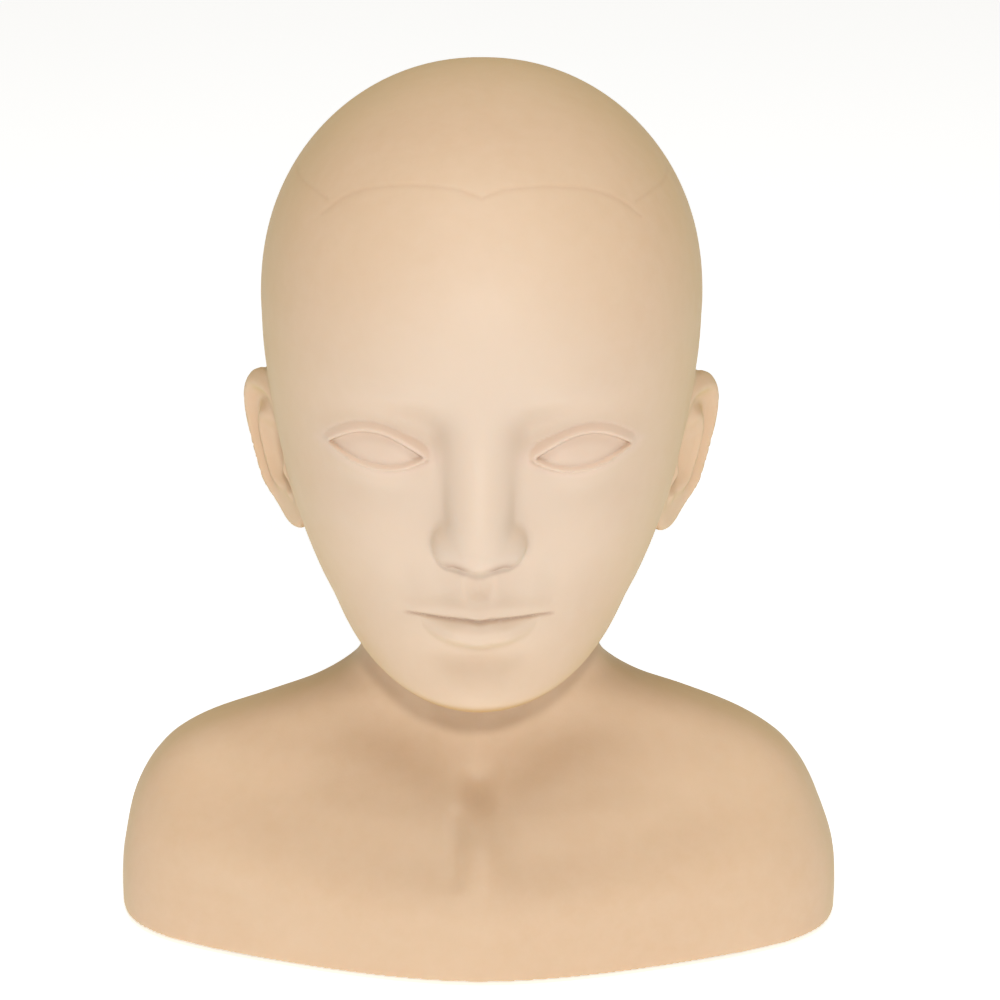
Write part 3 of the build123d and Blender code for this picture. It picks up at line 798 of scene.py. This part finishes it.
def vinyl():
    """Matte flesh-coloured soft vinyl, a little uneven, with painted shade in the engraved lines and painted
    light and shade in most of its other zones.
    """
    m = Finish("skin_vinyl_look")
    patches = m.spread(m.noise(0.045, 2.0), 0.3, 0.7)
    mottle = m.spread(m.noise(0.006, 4.0, 0.6), 0.3, 0.7)
    base = m.mix(patches, rgb(219, 189, 156), rgb(216, 184, 150))
    base = m.mix(m.spread(mottle, 0, 1, 0.0, 0.35), base, rgb(224, 196, 168))
    for zone, share, colour in ZONES:
        base = m.mix(m.sums("MULTIPLY", m.attribute(zone), share), base, rgb(*colour))
    m.set(
        Base_Color=base,
        Roughness=m.spread(m.noise(0.02, 4.0), 0.3, 0.7, 0.5, 0.62),
        Subsurface_Weight=0.18,
        Subsurface_Radius=(1.0, 0.55, 0.35),
        Subsurface_Scale=0.004,
        Specular_IOR_Level=0.5,
    )
    m.bump(m.noise(0.0011, 2.0), 0.00004, 0.6)
    m.bump(m.noise(0.009, 3.0), 0.00012, 0.5)
    return m.material


def foam_look():
    """Cut rigid foam with open cells."""
    m = Finish("foam_look")
    cells = m.node("ShaderNodeTexVoronoi", {"Vector": m.place, "Scale": 1 / 0.0016})
    cells = cells.outputs["Distance"]
    tint = m.mix(m.spread(m.noise(0.03, 3.0), 0.3, 0.7), rgb(222, 205, 160), rgb(206, 184, 132))
    # Painted shade: the cells' hollows are darkened.
    deep = m.spread(cells, 0.1, 0.6, 0.35, 0.0)
    m.set(Base_Color=m.mix(deep, tint, rgb(150, 124, 78)), Roughness=0.9)
    m.bump(cells, 0.0005, 0.8)
    return m.material


def plywood_look():
    """Birch plywood: grain on the faces, dark and light plies on the edges."""
    m = Finish("plywood_look")
    grain = m.noise(0.004, 5.0, 0.62, m.stretched((0.09, 1.0, 1.0)))
    figure = m.noise(0.02, 3.0, 0.5, m.stretched((0.2, 1.0, 1.0)))
    face = m.mix(m.spread(grain, 0.32, 0.68), rgb(214, 180, 128), rgb(184, 144, 92))
    face = m.mix(m.spread(figure, 0.35, 0.75, 0, 0.5), face, rgb(226, 198, 150))
    height = m.node("ShaderNodeSeparateXYZ", {0: m.place}).outputs[2]
    ply = m.node("ShaderNodeMath", {0: height, 1: 0.0030}, operation="PINGPONG").outputs[0]
    dark_ply = m.spread(ply, 0.0012, 0.0018)
    edge = m.mix(dark_ply, rgb(216, 184, 134), rgb(146, 104, 62))
    normal = m.node("ShaderNodeNewGeometry").outputs["Normal"]
    up = m.node("ShaderNodeSeparateXYZ", {0: normal}).outputs[2]
    flat = m.spread(m.node("ShaderNodeMath", {0: up}, operation="ABSOLUTE").outputs[0], 0.4, 0.8)
    m.set(
        Base_Color=m.mix(flat, edge, face),
        Roughness=m.spread(grain, 0.3, 0.7, 0.55, 0.75),
    )
    m.bump(grain, 0.0003, 0.5)
    return m.material


def moulded_look(name, colour, worn, rough):
    """Injection-moulded plastic with a fine spark finish and lighter rubbed edges."""
    m = Finish(name)
    cloud = m.spread(m.noise(0.025, 3.0), 0.3, 0.7)
    pointed = m.node("ShaderNodeNewGeometry").outputs["Pointiness"]
    rubbed = m.sums("MULTIPLY", m.spread(pointed, 0.515, 0.56), m.spread(m.noise(0.006, 4.0), 0.4, 0.6))
    tint = m.mix(m.sums("MULTIPLY", cloud, 0.35), colour, worn)
    m.set(
        Base_Color=m.mix(m.sums("MULTIPLY", rubbed, 0.7), tint, worn),
        Roughness=m.spread(m.noise(0.012, 4.0), 0.3, 0.7, rough - 0.06, rough + 0.1),
    )
    m.bump(m.noise(0.0006, 2.0), 0.00005, 0.6)
    m.bump(m.noise(0.02, 2.0), 0.0002, 0.3)
    return m.material


def steel_look():
    """Zinc-plated steel, faintly turned, with a dull bloom."""
    m = Finish("screw_steel_look")
    turned = m.noise(0.0006, 2.0, 0.5, m.stretched((1.0, 1.0, 0.12)))
    bloom = m.spread(m.noise(0.003, 4.0), 0.35, 0.7)
    m.set(
        Base_Color=m.mix(bloom, rgb(196, 196, 192), rgb(168, 166, 156)),
        Metallic=1.0,
        Roughness=m.spread(bloom, 0, 1, 0.26, 0.46),
    )
    m.bump(turned, 0.00004, 0.5)
    return m.material


def rubber_look():
    """Black rubber, matte, with a dusty film and small pits."""
    m = Finish("foot_rubber_look")
    dust = m.spread(m.noise(0.008, 5.0), 0.42, 0.7)
    m.set(
        Base_Color=m.mix(m.sums("MULTIPLY", dust, 0.5), rgb(30, 29, 28), rgb(84, 80, 74)),
        Roughness=m.spread(dust, 0, 1, 0.68, 0.88),
    )
    m.bump(m.noise(0.0008, 3.0), 0.00012, 0.7)
    return m.material


def dress(thing, material):
    thing.data.materials.clear()
    thing.data.materials.append(material)


# ==== the object ================================================================================

skin_piece = make_skin()
dress(skin_piece, vinyl())
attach(skin_piece, "root")
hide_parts("bust_skin")

foam_piece = make_foam()
dress(foam_piece, foam_look())
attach(foam_piece, "root")
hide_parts("head_foam_core")

wood = plywood_look()
black = moulded_look("black_plastic_look", rgb(34, 34, 36), rgb(82, 82, 84), 0.42)
tan = moulded_look("base_plastic_look", rgb(196, 172, 146), rgb(208, 187, 162), 0.5)
steel = steel_look()
rubber = rubber_look()
LOOKS = {
    "plywood": wood,
    "black_plastic": black,
    "base_plastic": tan,
    "screw_steel": steel,
    "foot_rubber": rubber,
    "foam": foam_piece.data.materials[0],
}
for entry in frame["record"]["subparts"]:
    if entry["material_slot"] in LOOKS:
        dress(frame["nodes"][entry["node"]], LOOKS[entry["material_slot"]])

# ==== studio ====================================================================================

def make_floor():
    """A pale round floor 12 m across, in rings that are closer together near the object."""
    rings, spokes, reach = 48, 96, 6.0
    radius = [reach * (i / rings) ** 2 for i in range(rings + 1)]
    points = [(0.0, 0.0, 0.0)]
    points += [
        (r * math.cos(2 * math.pi * s / spokes), r * math.sin(2 * math.pi * s / spokes), 0.0)
        for r in radius[1:] for s in range(spokes)
    ]
    mesh = bpy.data.meshes.new("floor")
    faces = [(0, 1 + s, 1 + (s + 1) % spokes) for s in range(spokes)]
    for ring in range(rings - 1):
        a, b = 1 + ring * spokes, 1 + (ring + 1) * spokes
        faces += [(a + s, b + s, b + (s + 1) % spokes, a + (s + 1) % spokes) for s in range(spokes)]
    mesh.from_pydata(points, [], faces)
    floor = bpy.data.objects.new("floor", mesh)
    bpy.context.scene.collection.objects.link(floor)
    look = Finish("floor_look")
    look.set(
        Base_Color=look.mix(look.noise(0.4, 2.0), rgb(244, 248, 255), rgb(241, 246, 253)),
        Roughness=0.9,
        Specular_IOR_Level=0.1,
        Emission_Color=(1.0, 1.0, 1.0, 1.0),
        Emission_Strength=0.47,
    )
    dress(floor, look.material)


def lamp(name, place, aim, size, power):
    """A white disc lamp at the place, pointed at the aim."""
    light = bpy.data.lights.new(name, "AREA")
    light.shape = "DISK"
    light.size = size
    light.energy = power
    thing = bpy.data.objects.new(name, light)
    bpy.context.scene.collection.objects.link(thing)
    thing.location = place
    way = Vector(aim) - Vector(place)
    thing.rotation_euler = way.to_track_quat("-Z", "Y").to_euler()


def make_world():
    """Warm dim light from all round, and pure white where the camera sees past the floor."""
    world = bpy.data.worlds.new("studio")
    bpy.context.scene.world = world
    world.use_nodes = True
    tree = world.node_tree
    room = tree.nodes["Background"]
    room.inputs["Color"].default_value = (1.0, 0.92, 0.78, 1)
    room.inputs["Strength"].default_value = 0.36
    seen = tree.nodes.new("ShaderNodeBackground")
    seen.inputs["Color"].default_value = (1, 1, 1, 1)
    seen.inputs["Strength"].default_value = 1.0
    path = tree.nodes.new("ShaderNodeLightPath")
    both = tree.nodes.new("ShaderNodeMixShader")
    tree.links.new(path.outputs["Is Camera Ray"], both.inputs[0])
    tree.links.new(room.outputs[0], both.inputs[1])
    tree.links.new(seen.outputs[0], both.inputs[2])
    tree.links.new(both.outputs[0], tree.nodes["World Output"].inputs["Surface"])


make_floor()
make_world()
lamp("key", (0.06, -1.76, 1.13), (0, 0, 0.16), 0.13, 13.5)
lamp("top", (0.0, -0.5, 2.2), (0, 0, 0.1), 1.2, 16.5)

CAMERA_DOWN, CAMERA_ROLL = math.radians(21.3), math.radians(0.4)
camera = bpy.data.cameras.new("camera")
camera.lens = 158.2
camera.sensor_width = 36.0
camera.clip_start = 0.05
view = bpy.data.objects.new("camera", camera)
bpy.context.scene.collection.objects.link(view)
view.location = (0.0067, -1.410, 0.707)
level = math.radians(90)
aim = Matrix.Rotation(level - CAMERA_DOWN, 3, "X") @ Matrix.Rotation(CAMERA_ROLL, 3, "Z")
view.rotation_euler = aim.to_euler()
bpy.context.scene.camera = view
bpy.context.scene.view_settings.view_transform = "Standard"
